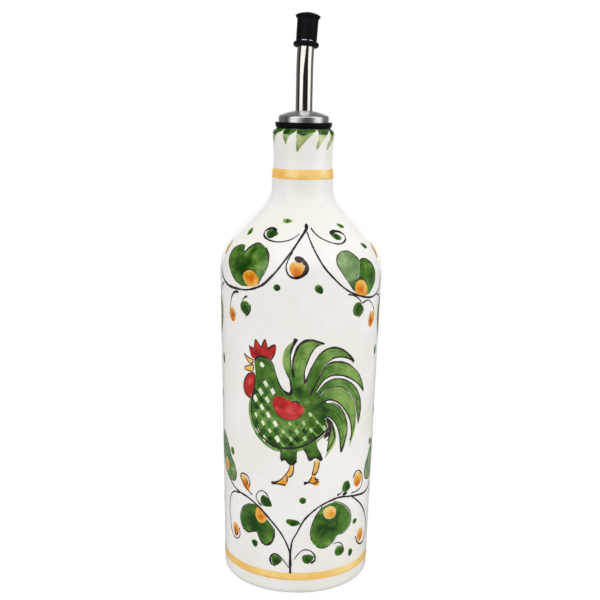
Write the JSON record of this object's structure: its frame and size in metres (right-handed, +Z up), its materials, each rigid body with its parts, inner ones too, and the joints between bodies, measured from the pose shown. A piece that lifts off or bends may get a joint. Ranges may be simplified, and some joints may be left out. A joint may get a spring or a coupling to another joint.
{
  "type": "ceramic oil cruet",
  "caption": "Tall glazed ceramic oil bottle with a rubber stopper, a bent metal pouring tube and a push-on cap.",
  "frame": {"origin": "middle of the flat base of the bottle, on the surface that it stands on", "axes": "+Z up along the bottle's axis; -Y is the side with the painted bird; the spout's tip leans back towards +Y and a little towards +X"},
  "size_m": [0.083, 0.083, 0.2911],
  "materials": {
    "glaze": "glossy off-white glaze with hand-painted green, yellow and red decoration",
    "stopper_rubber": "smooth black rubber",
    "dome_metal": "polished, slightly soft",
    "tube_metal": "mirror polished",
    "cap_rubber": "soft black plastic with a dull sheen"
  },
  "bodies": {
    "root": {"bottle": "glaze", "stopper": "stopper_rubber", "pourer_dome": "dome_metal", "spout_tube": "tube_metal", "tube_ring": "cap_rubber", "spout_cap": "cap_rubber"}
  },
  "joints": []
}
